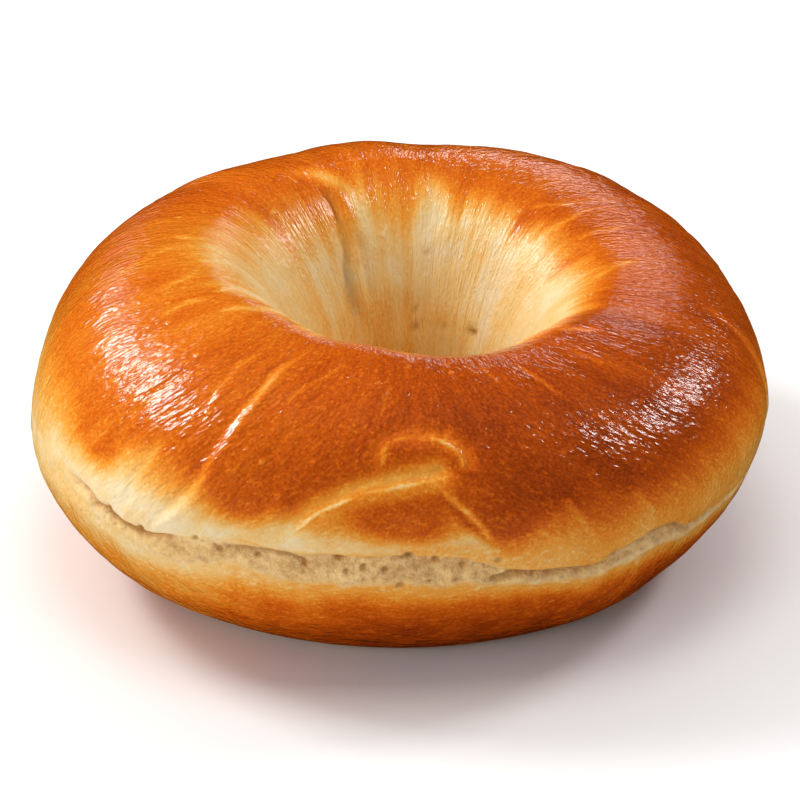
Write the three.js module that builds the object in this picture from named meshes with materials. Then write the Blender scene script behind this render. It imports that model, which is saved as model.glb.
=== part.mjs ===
// A plain bagel: one ring of bread with a smooth browned crust, lying on its flat base.
// Millimetres, +Z up. The origin is the middle of the footprint, on the surface that it rests on.
// A place on the crust is given by two angles in degrees. The bearing goes round the ring:
// 0 is +X, 90 is +Y, and 270 is the front. The climb goes round the section of the ring:
// -90 is the outer edge of the flat base, 0 the outermost line, 90 the crown, 180 the throat of
// the hole, and 270 the inner edge of the base.
import * as THREE from "three";

// Driving dimensions
const outerRadius = 56.9;
const throatRadius = 12.8;
const crownRadius = 32.6;
const crownHeight = 43.8;
const outermostHeight = 24.1; // the dough is widest here
const throatHeight = 13.2; // the hole is narrowest here
const baseOuterRadius = 39;
const baseInnerRadius = 22;

// Fullness of the four quarters of the section: 2 is an ellipse, more is squarer, less is leaner.
const fullness = { outerTop: 2.06, innerTop: 1.84, innerLow: 2, outerLow: 1.56 };

// A hand-rolled ring is a little uneven. A wave has so many turns round the ring, a size, and
// the bearing where it is largest.
const rimWaves = [
  { turns: 2, size: 1.5, bearing: 57 },
  { turns: 3, size: 1.3, bearing: 318.5 },
  { turns: 4, size: 1.55, bearing: 53.6 },
];
const crownWaves = [
  { turns: 1, size: 2.75, bearing: 182 },
  { turns: 2, size: 0.45, bearing: 79 },
  { turns: 3, size: 0.8, bearing: 89 },
];
const outermostWaves = [{ turns: 1, size: 2.4, bearing: 349 }];
const holeShift = { x: 1.3, y: -0.9 };

// The crust burst along the waist in the oven and bared a torn band of crumb. Each row gives the
// climb of the upper crust's lip at a bearing, and how high the band under it is.
const waist = [
  { bearing: 0, climb: -9, height: 1.2 },
  { bearing: 40, climb: -5, height: 3.6 },
  { bearing: 80, climb: -2, height: 4.6 },
  { bearing: 120, climb: 3, height: 3 },
  { bearing: 160, climb: 8, height: 4.4 },
  { bearing: 190, climb: 11, height: 1.2 },
  { bearing: 209, climb: 10, height: 1 },
  { bearing: 220, climb: 8.3, height: 2.5 },
  { bearing: 231, climb: 2.8, height: 3.6 },
  { bearing: 240, climb: 3.4, height: 4.6 },
  { bearing: 252, climb: 2, height: 4.6 },
  { bearing: 262, climb: 2, height: 5.8 },
  { bearing: 270, climb: 0.5, height: 6.1 },
  { bearing: 277, climb: -2.8, height: 5.5 },
  { bearing: 287, climb: -11, height: 3.6 },
  { bearing: 299, climb: -15.2, height: 3.4 },
  { bearing: 309, climb: -9.2, height: 4.1 },
  { bearing: 319, climb: -15, height: 2.4 },
  { bearing: 335, climb: -14, height: 1 },
];
const bandDepth = { least: 0.25, most: 1.35, fullHeight: 4.5 };
const lipHeight = 0.3;

// Folds of the dough that run over the crust. Each goes through a few places, given as a climb
// and the bearing there. lap is how far the side of higher bearing stands proud of the other.
const folds = [
  { path: [[5, 232.5], [18, 237.5], [33, 239.7], [60, 243], [88, 247]], depth: 0.5, width: 2.2, lap: 0.4 },
  { path: [[0, 284], [10, 281], [24, 277], [32, 274.5]], depth: 0.45, width: 2, lap: 0.6 },
  { path: [[78, 123], [100, 121], [114, 117.5], [130, 118], [140, 121]], depth: 0.9, width: 2.6, lap: 1.1 },
  { path: [[2, 46], [30, 52], [72, 63]], depth: 0.4, width: 2.4, lap: -0.5 },
  { path: [[6, 150], [30, 145], [66, 137]], depth: 0.4, width: 2.4, lap: 0.4 },
  { path: [[-6, 342], [30, 348], [64, 352]], depth: 0.3, width: 2.4, lap: 0.35 },
];

// The tuck in the front: a low flap of dough whose upper edge climbs to the right through these
// places, given as a bearing and the climb there, with a small tongue above its end.
const tuck = {
  edge: [[248, 2], [254, 12.5], [260, 22.5], [265, 27], [270, 30.3], [279, 35]],
  from: 250,
  to: 283,
  lift: 0.8,
  valley: 0.7,
  width: 1.6,
};
const tongue = { bearing: 273, climb: 40.5, halfWide: 5.6, halfHigh: 3, height: 0.5 };

// Slow swellings of the crust, each a wave of so many turns round the ring and round the section.
// They fade out down the hole.
const swellings = [
  { around: 5, across: 1, size: 0.28, phase: 40 },
  { around: 8, across: 2, size: 0.18, phase: 160 },
  { around: 11, across: 1, size: 0.12, phase: 290 },
];
const swellingsFade = { from: 105, over: 40 };

// How far from the table the crust starts to leave the plain form
const reliefStart = 0.4;
const reliefFull = 5;

// The net of the surface: stretches of bearing and of climb, in degrees, and their steps. It is
// finest on the front and along the waist. Its rows follow the lip between two climbs.
const bearingStretches = [
  { from: 225, to: 315, step: 1.8 },
  { from: 315, to: 585, step: 3 },
];
const climbStretches = [
  { from: -90, to: -26, step: 9.15 },
  { from: -26, to: -2, step: 4 },
  { from: -2, to: 1.5, step: 1.75 },
  { from: 1.5, to: 9.5, step: 4 },
  { from: 9.5, to: 51.5, step: 6 },
  { from: 51.5, to: 90, step: 9.6 },
  { from: 90, to: 180, step: 11.25 },
  { from: 180, to: 270, step: 22.5 },
];
const rowsFollow = { from: -75, to: 75, soft: 50 };

const radians = THREE.MathUtils.degToRad;
const smooth = (t) => THREE.MathUtils.smoothstep(t, 0, 1);
const bell = (x) => Math.exp(-x * x);

// The sum of some waves at a bearing
function sumOfWaves(waves, bearing) {
  return waves.reduce((sum, w) => sum + w.size * Math.cos(w.turns * radians(bearing - w.bearing)), 0);
}

// 1 between two limits, falling softly to 0 at each
function between(x, from, to, soft) {
  return smooth((x - from) / soft) * smooth((to - x) / soft);
}

// The difference between two bearings, from -180 to 180
function bearingGap(a, b) {
  return THREE.MathUtils.euclideanModulo(a - b + 180, 360) - 180;
}

// The value at x of a smooth line through places, each a pair of a position and a value
function lineThrough(places, x) {
  const last = places.length - 1;
  const at = THREE.MathUtils.clamp(x, places[0][0], places[last][0]);
  const i = Math.max(0, Math.min(last - 1, places.findIndex(([end]) => end >= at) - 1));
  const slope = (k) => {
    const [before, after] = [places[Math.max(k - 1, 0)], places[Math.min(k + 1, last)]];
    return (after[1] - before[1]) / (after[0] - before[0]);
  };
  const width = places[i + 1][0] - places[i][0];
  const t = (at - places[i][0]) / width;
  const rise = t * t * (3 - 2 * t);
  const leave = t * (1 - t) * (1 - t) * width * slope(i);
  const arrive = t * t * (1 - t) * width * slope(i + 1);
  return places[i][1] * (1 - rise) + places[i + 1][1] * rise + leave - arrive;
}

// The same for one of the waist's values, on a line that closes round the ring
function waistValue(name, bearing) {
  const places = waist.map((row) => [row.bearing, row[name]]);
  const before = places.slice(-2).map(([at, value]) => [at - 360, value]);
  const after = places.slice(0, 2).map(([at, value]) => [at + 360, value]);
  return lineThrough([...before, ...places, ...after], THREE.MathUtils.euclideanModulo(bearing, 360));
}

// The plain form of the ring: a section of four quarter ovals, turned round the hole
function plainPoint(bearing, climb) {
  const rim = outerRadius + sumOfWaves(rimWaves, bearing);
  const crown = crownHeight + sumOfWaves(crownWaves, bearing);
  const outermost = outermostHeight + sumOfWaves(outermostWaves, bearing);
  const outside = climb < 90;
  const above = climb >= 0 && climb <= 180;
  const across = Math.cos(radians(climb));
  const up = Math.sin(radians(climb));
  let power = outside ? fullness.outerTop : fullness.innerTop;
  if (!above) power = outside ? fullness.outerLow : fullness.innerLow;
  const spread = (Math.abs(across) ** power + Math.abs(up) ** power) ** (-1 / power);
  const baseRadius = outside ? baseOuterRadius : baseInnerRadius;
  const middle = above ? crownRadius : baseRadius;
  const reach = outside ? rim - middle : middle - throatRadius;
  const radius = middle + reach * spread * across;
  const sideHeight = outside ? outermost : throatHeight;
  const rise = above ? crown - sideHeight : sideHeight;
  const shift = (rim - radius) / (rim - throatRadius);
  const b = radians(bearing);
  return new THREE.Vector3(
    radius * Math.cos(b) + shift * holeShift.x,
    radius * Math.sin(b) + shift * holeShift.y,
    sideHeight + rise * spread * up,
  );
}

// Millimetres for each degree along the ring and along the section, and the way out of the crust
function localFrame(bearing, climb) {
  const step = 0.5;
  const low = Math.max(climb - step, climb < 90 ? -90 : 90);
  const high = Math.min(climb + step, 270);
  const along = plainPoint(bearing + step, climb).sub(plainPoint(bearing - step, climb));
  const across = plainPoint(bearing, high).sub(plainPoint(bearing, low));
  return {
    ringScale: along.length() / (2 * step),
    sectionScale: across.length() / (high - low),
    normal: along.cross(across).normalize(),
  };
}

// Millimetres along the section from the outermost line, near the waist
function alongSection(climb) {
  const reach = outerRadius - (climb > 0 ? crownRadius : baseOuterRadius);
  return reach * radians(climb);
}

// The lip of the upper crust, and under it the recess that slopes back out to the lower crust
function waistRelief(bearing, climb) {
  const above = alongSection(climb) - alongSection(waistValue("climb", bearing));
  const height = waistValue("height", bearing);
  const open = smooth(height / bandDepth.fullHeight);
  const depth = bandDepth.least + (bandDepth.most - bandDepth.least) * open;
  const edge = 0.8;
  const recess = smooth(-above / edge) * smooth((height + above) / height);
  return lipHeight * open * bell((above - 2) / 2.2) - depth * recess;
}

function foldRelief(fold, bearing, climb, frame) {
  const step = 1;
  const line = lineThrough(fold.path, climb);
  const lean = (lineThrough(fold.path, climb + step) - lineThrough(fold.path, climb - step)) / (2 * step);
  const slant = Math.hypot(1, (lean * frame.ringScale) / frame.sectionScale);
  const off = (bearingGap(bearing, line) * frame.ringScale) / slant;
  const fade = between(climb, fold.path[0][0] - 4, fold.path.at(-1)[0] + 4, 14);
  const side = 0.5 + 0.5 * Math.tanh((Math.sign(fold.lap) * off) / fold.width);
  const lap = Math.abs(fold.lap) * side * Math.exp(-Math.abs(off) / 7);
  return fade * (lap - fold.depth * bell(off / fold.width));
}

function tuckRelief(bearing, climb, scale) {
  const below = (lineThrough(tuck.edge, bearing) - climb) * scale;
  const fade = between(bearing, tuck.from, tuck.to, 7) * smooth((climb + 4) / 8);
  const lift = smooth(0.5 + below / (2 * tuck.width)) * Math.exp(-Math.max(below, 0) / 6);
  return fade * (tuck.lift * lift - tuck.valley * bell((below + 1.6) / tuck.width));
}

function tongueRelief(bearing, climb, frame) {
  const across = (bearingGap(bearing, tongue.bearing) * frame.ringScale) / tongue.halfWide;
  const up = ((climb - tongue.climb) * frame.sectionScale) / tongue.halfHigh;
  return tongue.height * smooth(1.5 - Math.hypot(across, up));
}

// A point of the crust: the plain form, moved out or in by every small form that lies there
function crustPoint(bearing, climb) {
  const point = plainPoint(bearing, climb);
  const frame = localFrame(bearing, climb);
  let relief = climb < 90 ? waistRelief(bearing, climb) : 0;
  for (const fold of folds) relief += foldRelief(fold, bearing, climb, frame);
  const open = 1 - smooth((climb - swellingsFade.from) / swellingsFade.over);
  for (const s of swellings) {
    relief += open * s.size * Math.cos(radians(s.around * bearing + s.across * climb + s.phase));
  }
  relief += tuckRelief(bearing, climb, frame.sectionScale);
  relief += tongueRelief(bearing, climb, frame);
  const clear = smooth((point.z - reliefStart) / (reliefFull - reliefStart));
  return point.addScaledVector(frame.normal, relief * clear);
}

// The angles of one way round the net, from its stretches
function stations(stretches) {
  return stretches.flatMap(({ from, to, step }) => {
    const count = Math.round((to - from) / step);
    return Array.from({ length: count }, (_, i) => from + ((to - from) * i) / count);
  });
}

// The closed net of the whole ring. The last row joins the first across the flat base.
function crustGeometry() {
  const bearings = stations(bearingStretches).map((b) => b % 360);
  const rows = [...stations(climbStretches), climbStretches.at(-1).to];
  const points = bearings.flatMap((bearing) => {
    const lip = waistValue("climb", bearing);
    return rows.map((row) => {
      const hold = between(row, rowsFollow.from, rowsFollow.to, rowsFollow.soft);
      return crustPoint(bearing, row + lip * hold);
    });
  });
  const indices = [];
  const at = (i, j) => (i % bearings.length) * rows.length + (j % rows.length);
  for (let i = 0; i < bearings.length; i += 1) {
    for (let j = 0; j < rows.length; j += 1) {
      const corners = [at(i, j), at(i + 1, j), at(i + 1, j + 1), at(i, j + 1)];
      indices.push(corners[0], corners[1], corners[2], corners[0], corners[2], corners[3]);
    }
  }
  const geometry = new THREE.BufferGeometry().setFromPoints(points).setIndex(indices);
  geometry.computeVertexNormals();
  return geometry;
}

const crustFinish = new THREE.MeshStandardMaterial({
  color: new THREE.Color().setRGB(0.5, 0.17, 0.035),
  roughness: 0.38,
  metalness: 0,
});

const bagel = new THREE.Mesh(crustGeometry(), crustFinish);
bagel.name = "bagel";

// The footprint's middle is the origin.
bagel.geometry.computeBoundingBox();
const middle = bagel.geometry.boundingBox.getCenter(new THREE.Vector3());
bagel.position.set(-middle.x, -middle.y, 0);

const part = new THREE.Group();
part.add(bagel);

export default part;
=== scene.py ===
# %% [markdown]
# # A plain bagel
# A bagel is a rope of dough closed into a ring, boiled for a minute and baked. Boiling sets a
# thin skin, so the crust bakes glossy and deep brown, while the dough goes on rising under it
# and tears it open along the waist, where pale crumb shows. This file models that: one closed
# skin with real relief, and one material that goes from cream crumb to dark crust.

# %% The shared frame
import math
import bpy
import numpy as np
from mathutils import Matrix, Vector


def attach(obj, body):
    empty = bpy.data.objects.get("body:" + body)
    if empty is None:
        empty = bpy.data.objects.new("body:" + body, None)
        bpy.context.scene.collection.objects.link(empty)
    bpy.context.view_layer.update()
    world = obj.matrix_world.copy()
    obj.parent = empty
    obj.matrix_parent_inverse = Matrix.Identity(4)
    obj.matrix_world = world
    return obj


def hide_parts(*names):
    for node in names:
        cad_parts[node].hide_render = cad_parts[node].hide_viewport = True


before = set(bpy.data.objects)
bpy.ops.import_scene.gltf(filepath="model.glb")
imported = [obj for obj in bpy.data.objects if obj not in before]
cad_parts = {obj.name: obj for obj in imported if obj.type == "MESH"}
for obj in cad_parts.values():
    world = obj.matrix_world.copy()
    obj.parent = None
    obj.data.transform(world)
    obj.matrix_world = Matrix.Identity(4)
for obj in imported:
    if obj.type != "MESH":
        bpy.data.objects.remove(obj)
scene = bpy.context.scene
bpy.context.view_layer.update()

# %% [markdown]
# ## Small helpers
# A form that no one modelled by hand is easiest to describe with a few soft functions: a step
# that eases in and out, a bell, a line that passes smoothly through chosen places, and noise
# that looks the same whenever the file runs. Everything works on whole arrays at once.

# %% Soft functions
def smooth(t):
    t = np.clip(t, 0.0, 1.0)
    return t * t * (3 - 2 * t)


def bell(x):
    return np.exp(-x * x)


def gap(a, b):
    """The difference between two bearings, from -180 to 180 degrees."""
    return (a - b + 180) % 360 - 180


def through(places, x, period=None):
    """The value at x of a smooth line through places, each a pair of a position and a value."""
    at, value = np.array(places, float).T
    if period:
        at = np.concatenate([at[-2:] - period, at, at[:2] + period])
        value = np.concatenate([value[-2:], value, value[:2]])
        x = (x - at[2]) % period + at[2]
    slope = np.diff(value, prepend=value[0]) / np.maximum(np.diff(at, prepend=at[0]), 1e-9)
    slope[0] = (value[1] - value[0]) / (at[1] - at[0])
    slope[1:-1] = (value[2:] - value[:-2]) / (at[2:] - at[:-2])
    x = np.clip(x, at[0], at[-1])
    i = np.clip(np.searchsorted(at, x) - 1, 0, len(at) - 2)
    width = at[i + 1] - at[i]
    t = (x - at[i]) / width
    rise = t * t * (3 - 2 * t)
    leave = t * (1 - t) ** 2 * width * slope[i]
    arrive = t * t * (1 - t) * width * slope[i + 1]
    return value[i] * (1 - rise) + value[i + 1] * rise + leave - arrive


def noise(points, seed):
    """Smooth noise between about -1 and 1, one cell to a unit, that repeats after 64 cells."""
    table = np.random.default_rng(seed).uniform(-1, 1, (64, 64, 64))
    cell = np.floor(points).astype(int)
    t = smooth(points - cell)
    total = np.zeros(points.shape[:-1])
    for corner in range(8):
        step = np.array([corner & 1, corner >> 1 & 1, corner >> 2])
        weight = np.prod(np.where(step, t, 1 - t), axis=-1)
        x, y, z = np.moveaxis((cell + step) % 64, -1, 0)
        total += weight * table[x, y, z]
    return total


print("a line through 0, 1, 0 at its top", through([(0, 0), (1, 1), (2, 0)], np.array([1.0])))

# %% [markdown]
# ## The plain ring
# Every place on the skin has two angles. The bearing goes round the ring, with 270 at the
# front. The climb goes round the section: -90 is the outer edge of the flat base, 0 the
# outermost line, 90 the crown, 180 the throat and 270 the inner edge of the base. The section
# is four quarter ovals, and slow waves make the ring as uneven as one rolled by hand.

# %% The plain ring, in millimetres
OUTER_RADIUS = 56.9
THROAT_RADIUS = 12.8
CROWN_RADIUS = 32.6
CROWN_HEIGHT = 43.8
OUTERMOST_HEIGHT = 24.1
THROAT_HEIGHT = 13.2
BASE_OUTER_RADIUS = 39.0
BASE_INNER_RADIUS = 22.0
FULL_OUTER_TOP = 2.06
FULL_INNER_TOP = 1.84
FULL_INNER_LOW = 2.0
FULL_OUTER_LOW = 1.56
RIM_WAVES = [(2, 1.5, 57), (3, 1.3, 318.5), (4, 1.55, 53.6)]
CROWN_WAVES = [(1, 2.75, 182), (2, 0.45, 79), (3, 0.8, 89)]
OUTERMOST_WAVES = [(1, 2.4, 349)]
HOLE_SHIFT = (1.3, -0.9)


def waves(terms, bearing):
    return sum(size * np.cos(np.radians(turns * (bearing - peak))) for turns, size, peak in terms)


def plain(bearing, climb):
    """Points of the plain ring. Climbs from 270 to 360 cross the flat base."""
    rim = OUTER_RADIUS + waves(RIM_WAVES, bearing)
    crown = CROWN_HEIGHT + waves(CROWN_WAVES, bearing)
    outermost = OUTERMOST_HEIGHT + waves(OUTERMOST_WAVES, bearing)
    across = np.cos(np.radians(climb))
    up = np.sin(np.radians(climb))
    outside = climb < 90
    above = (climb >= 0) & (climb <= 180)
    top = np.where(outside, FULL_OUTER_TOP, FULL_INNER_TOP)
    low = np.where(outside, FULL_OUTER_LOW, FULL_INNER_LOW)
    power = np.where(above, top, low)
    spread = (np.abs(across) ** power + np.abs(up) ** power) ** (-1 / power)
    middle = np.where(above, CROWN_RADIUS, np.where(outside, BASE_OUTER_RADIUS, BASE_INNER_RADIUS))
    reach = np.where(outside, rim - middle, middle - THROAT_RADIUS)
    radius = middle + reach * spread * across
    side = np.where(outside, outermost, THROAT_HEIGHT)
    height = side + np.where(above, crown - side, side) * spread * up
    over_base = np.clip((climb - 270) / 90, 0, 1)
    base_radius = BASE_INNER_RADIUS + over_base * (BASE_OUTER_RADIUS - BASE_INNER_RADIUS)
    radius = np.where(climb > 270, base_radius, radius)
    height = np.where(climb > 270, 0.0, height)
    shift = (rim - radius) / (rim - THROAT_RADIUS)
    angle = np.radians(bearing)
    x = radius * np.cos(angle) + shift * HOLE_SHIFT[0]
    y = radius * np.sin(angle) + shift * HOLE_SHIFT[1]
    return np.stack([x, y, height], axis=-1)


print("the outermost place at the front", plain(np.array([270.0]), np.array([0.0]))[0].round(1))

# %% [markdown]
# ## The net of the skin
# The torn waist needs a fine net and the base hardly any. So each row round the ring uses all
# the columns, every second or every fourth, and the columns stand closer at the front. Where
# two rows of different density meet, triangles join one edge to two. Near the waist the rows
# follow the lip of the tear, which keeps that edge crisp.

# %% Columns and rows
COLUMN_STRETCHES = [
    # from and to bearing, and columns; a multiple of four in all
    (205, 242, 125),
    (242, 290, 240),
    (290, 345, 185),
    (345, 565, 350),
]
stretches = [np.linspace(start, end, count, endpoint=False) for start, end, count in COLUMN_STRETCHES]
columns = np.concatenate(stretches)

ROW_STRETCHES = [
    # from, to, rows, and which columns are used
    (-90, -50, 17, 2),
    (-50, -20, 20, 2),
    (-20, 2.5, 34, 1),
    (2.5, 52, 46, 2),
    (52, 90, 21, 2),
    (90, 122, 16, 2),
    (122, 180, 30, 4),
    (180, 270, 15, 4),
    (270, 360, 4, 4),
]
rows = []
for start, end, count, stride in ROW_STRETCHES:
    rows += [(level, stride) for level in np.linspace(start, end, count, endpoint=False)]

LIP = [
    # bearing, and the climb of the lip
    (209, 10.5), (216, 9), (221, 8.5), (225.5, 5), (231.5, 2.5), (236, 3.5), (240.5, 4.6), (247, 5.2),
    (252.5, 4.2), (257, 2.4), (262, 2), (270.5, 0.5), (278.5, -3), (281.5, -6), (286, -11),
    (289, -12.5), (293.5, -13.5), (301, -15.5), (302.5, -13.5), (307, -9.5), (309.5, -9), (314, -11.5),
    (317, -15.5), (323, -16), (345, -13), (380, -8), (420, -5), (460, -2), (500, 3), (535, 8),
]
LIP_ROWS_FULL = 25
LIP_ROWS_NONE = 75

lip_at_columns = through(LIP, columns, 360)
bearing_parts = []
climb_parts = []
ring_starts = []
total = 0
for level, stride in rows:
    ease = smooth((LIP_ROWS_NONE - abs(level)) / (LIP_ROWS_NONE - LIP_ROWS_FULL))
    bearing_parts.append(columns[::stride])
    climb_parts.append(level + lip_at_columns[::stride] * ease)
    ring_starts.append((total, len(columns) // stride))
    total += len(columns) // stride
bearing = np.concatenate(bearing_parts)
climb = np.concatenate(climb_parts)
on_base = climb > 270


def belt(lower, upper):
    """The faces between two rows, with triangles where one has twice the columns."""
    (low, low_count), (high, high_count) = lower, upper
    if low_count == high_count:
        a = np.arange(low_count)
        b = (a + 1) % low_count
        return [tuple(face) for face in np.stack([low + a, low + b, high + b, high + a], axis=1).tolist()]
    faces = []
    few = min(low_count, high_count)
    for k in range(few):
        after = (k + 1) % few
        if low_count > high_count:
            first, middle, last = low + 2 * k, low + 2 * k + 1, low + (2 * k + 2) % low_count
            faces += [(first, middle, high + k), (middle, high + after, high + k)]
            faces += [(middle, last, high + after)]
        else:
            first, middle, last = high + 2 * k, high + 2 * k + 1, high + (2 * k + 2) % high_count
            faces += [(low + k, middle, first), (low + k, low + after, middle), (low + after, last, middle)]
    return faces


faces = []
for lower, upper in zip(ring_starts, ring_starts[1:] + ring_starts[:1]):
    faces += belt(lower, upper)
print("points", total, "triangles", sum(len(face) - 2 for face in faces))

# %% [markdown]
# ## Measures on the skin
# Relief is given in millimetres, so each place needs to know how long a degree is there, along
# the ring and along the section, and which way is out. Dough also has a grain: its skin was
# stretched along lines that run over the crown and fan out at the front. The grain's own
# coordinates follow those lines, which lets noise and texture run with them.

# %% Scales, directions and grain
STEP = 0.25
plain_points = plain(bearing, climb)
along = plain(bearing + STEP, climb) - plain(bearing - STEP, climb)
higher = np.where(on_base, climb, np.minimum(climb + STEP, 270.0))
lower_limit = np.where(climb < 90, -90.0, 90.0)
lower_climb = np.maximum(climb - STEP, lower_limit)
over = plain(bearing, higher) - plain(bearing, np.where(on_base, climb - 1, lower_climb))
ring_scale = np.linalg.norm(along, axis=1) / (2 * STEP)
over_degrees = np.where(on_base, 1.0, np.maximum(higher - lower_climb, STEP))
section_scale = np.linalg.norm(over, axis=1) / over_degrees
out = np.cross(along, over)
out /= np.linalg.norm(out, axis=1, keepdims=True)
out[on_base] = (0, 0, -1)
upward = over / np.linalg.norm(over, axis=1, keepdims=True)

GRAIN_RADIUS = 45.0
GRAIN_FAN = 0.38
FAN_ENDS_AT = 100
FAN_GROWS_OVER = 120
SECTION_STEPS = 721
FRONT = 270.0
HOLE_BUMP_CLIMBS = (88, 108)
section_angles = np.linspace(-90, 270, SECTION_STEPS)
section_points = plain(np.full(SECTION_STEPS, FRONT), section_angles)
section_lengths = np.concatenate([[0], np.cumsum(np.linalg.norm(np.diff(section_points, axis=0), axis=1))])
section_length = np.interp(climb, section_angles, section_lengths)
hole_from, hole_full = np.interp(HOLE_BUMP_CLIMBS, section_angles, section_lengths)
fan = GRAIN_FAN * smooth((FAN_ENDS_AT - climb) / FAN_GROWS_OVER)
grain_angle = np.radians(bearing) + fan * np.sin(2 * np.radians(bearing))
grain_x = GRAIN_RADIUS * np.cos(grain_angle)
grain_y = GRAIN_RADIUS * np.sin(grain_angle)
grain = np.stack([grain_x, grain_y, section_length], axis=1)
print("the section is", round(float(section_lengths[-1]), 1), "mm long")


def streaks(width, length, seed):
    """Noise drawn out along the grain: so wide round the ring and so long over it, in mm."""
    return noise(grain / np.array([width, width, length]), seed)


def lumps(size, seed):
    """Even noise with cells of one size in mm."""
    return noise(plain_points / size, seed)


def streaky(layers):
    """Layers of streaks, each a strength, a width, a length and a seed."""
    return sum(strength * streaks(width, length, seed) for strength, width, length, seed in layers)


def lumpy(layers):
    """Layers of lumps, each a strength, a size and a seed."""
    return sum(strength * lumps(size, seed) for strength, size, seed in layers)


# %% [markdown]
# ## The torn waist
# The upper crust ends in a lip. Under it the crumb was pulled open while it was still soft, so
# it is recessed, rough and full of pores, and it runs out to the lower crust with no hard edge.
# Where the skin tore cleanly a dark crack stays under the lip, and the lip hangs over it. The
# heights and cracks are read off the photograph at the front and go on likewise at the back.

# %% The waist's relief
BAND_HEIGHT = [
    # bearing, and the height of the open band in mm
    (209, 0.9), (214, 1.4), (218, 2.5), (223, 3.2), (231, 4.2), (236, 5.9), (242, 5.6), (248, 5.4),
    (255, 6.8), (262, 6.6), (270, 7), (277, 6.5), (284, 4.4), (294, 3.4), (301, 3.8), (308, 4.4),
    (317, 3.4), (326, 1.8), (345, 0.9), (370, 1.6), (400, 3.6), (425, 5), (445, 4.6), (480, 3),
    (500, 4.2), (520, 4.6), (538, 2.2), (555, 1),
]
CRACK = [
    # bearing, and how open the crack under the lip is
    (205, 0), (216, 0.05), (221, 0.7), (235, 0.85), (240, 0), (246, 0), (255, 0), (259, 0.3),
    (268, 0.45), (275, 0.35), (284, 0.3), (293, 0.4), (299, 0.8), (316, 0.8), (325, 0.4), (345, 0.2),
    (380, 0.4), (400, 0.7), (425, 0.1), (450, 0.5), (480, 0.1), (505, 0.5), (535, 0.1),
]
LIP_CRISP = [
    # bearing, and how sharp the lip is, from rounded at 0 to torn at 1
    (205, 0.1), (216, 0.15), (221, 0.7), (235, 0.8), (240, 0.15), (246, 0), (253, 0), (258, 0.6),
    (268, 0.85), (283, 0.7), (291, 0.5), (299, 0.9), (316, 1), (325, 0.6), (345, 0.5), (380, 0.7),
    (400, 0.9), (425, 0.2), (450, 0.8), (480, 0.3), (505, 0.8), (535, 0.3),
]
LIP_RISE = 0.2
LIP_ROUND = 1.7
OVERHANG = 0.42
OVERHANG_HALF = 0.75
RECESS_LEAST = 0.25
RECESS_MOST = 1.1
RECESS_FULL_HEIGHT = 4.5
SOFT_EDGE = 2.4
CRISP_EDGE = 0.55
CRACK_DEPTH = 1.25
CRACK_HALF = 0.42
CRACK_BELOW_LIP = 0.6
SWELL_RISE = 0.35
SWELL_AT = 0.62
SWELL_HALF = 0.24
FAR_ABOVE_LIP = 60.0
UNEVEN_HEIGHT = [(0.22, 6, 60, 20), (0.14, 2.4, 60, 22)]
RAGGED_LIP = [(0.5, 3.6, 60, 12), (0.32, 1.5, 60, 13), (0.2, 0.8, 60, 23)]

band_height = through(BAND_HEIGHT, bearing, 360) * (1 + streaky(UNEVEN_HEIGHT))
crack = np.clip(through(CRACK, bearing, 360), 0, 1)
crack *= np.clip(0.75 + 0.6 * streaks(5, 40, 11), 0.2, 1.2)
opened = smooth(band_height / RECESS_FULL_HEIGHT)
crisp = np.clip(through(LIP_CRISP, bearing, 360), 0, 1)
outer_half = climb < 90
above_lip = (climb - through(LIP, bearing, 360)) * section_scale + streaky(RAGGED_LIP) * opened
above_lip = np.where(outer_half, above_lip, FAR_ABOVE_LIP)
recess_depth = (RECESS_LEAST + (RECESS_MOST - RECESS_LEAST) * opened) * (0.45 + 0.55 * crisp)
recess_edge = SOFT_EDGE - (SOFT_EDGE - CRISP_EDGE) * crisp
recess = smooth(-above_lip / recess_edge) * smooth((band_height + above_lip) / (0.95 * band_height))
undercut = crack * bell((above_lip + CRACK_BELOW_LIP) / CRACK_HALF)
swell = opened * bell((above_lip + SWELL_AT * band_height) / (SWELL_HALF * band_height + 0.1))

relief = LIP_RISE * opened * crisp * bell((above_lip - LIP_ROUND) / LIP_ROUND)
relief -= recess_depth * recess
relief -= CRACK_DEPTH * undercut
relief += SWELL_RISE * swell
slide = -OVERHANG * (0.35 + 0.65 * crack) * crisp * opened * bell((above_lip - 0.15) / OVERHANG_HALF)
print("the lip hangs over by up to", round(float(-slide.min()), 2), "mm")

# %% [markdown]
# Crumb shows wherever the band is open. It ends sharply at a torn lip, and fades out towards the
# lower crust. Torn crumb is lumpy, with flat cells drawn out sideways, and on the right of the
# front the photograph shows strands that were pulled upwards.

# %% The crumb
CRUMB_FADE = 1.9
CRUMB_LEAST_HEIGHT = 2.2
FLAT_CELL = np.array([2.6, 2.6, 0.8])
STRANDS_FROM = 284
STRANDS_TO = 330
STRANDS_FADE = 10

edge_noise = lumpy([(0.5, 2.4, 14), (0.3, 1.1, 15)])
crumb = smooth((-above_lip - 0.05 - (1 - crisp) * edge_noise) / (0.35 + 1.6 * (1 - crisp)))
crumb *= smooth((band_height + above_lip + edge_noise) / CRUMB_FADE)
crumb *= smooth(band_height / CRUMB_LEAST_HEIGHT)
cells = 0.16 * noise(plain_points / FLAT_CELL, 16)
relief += crumb * (0.22 * lumps(1.7, 17) + cells + 0.14 * lumps(0.85, 18))
strands = smooth((bearing - STRANDS_FROM) / STRANDS_FADE) * smooth((STRANDS_TO - bearing) / STRANDS_FADE)
relief += crumb * 0.2 * strands * streaks(1.0, 7, 19)
print("deepest recess", round(float(-relief.min()), 2), "mm, crumb on", int((crumb > 0.5).sum()))

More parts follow.
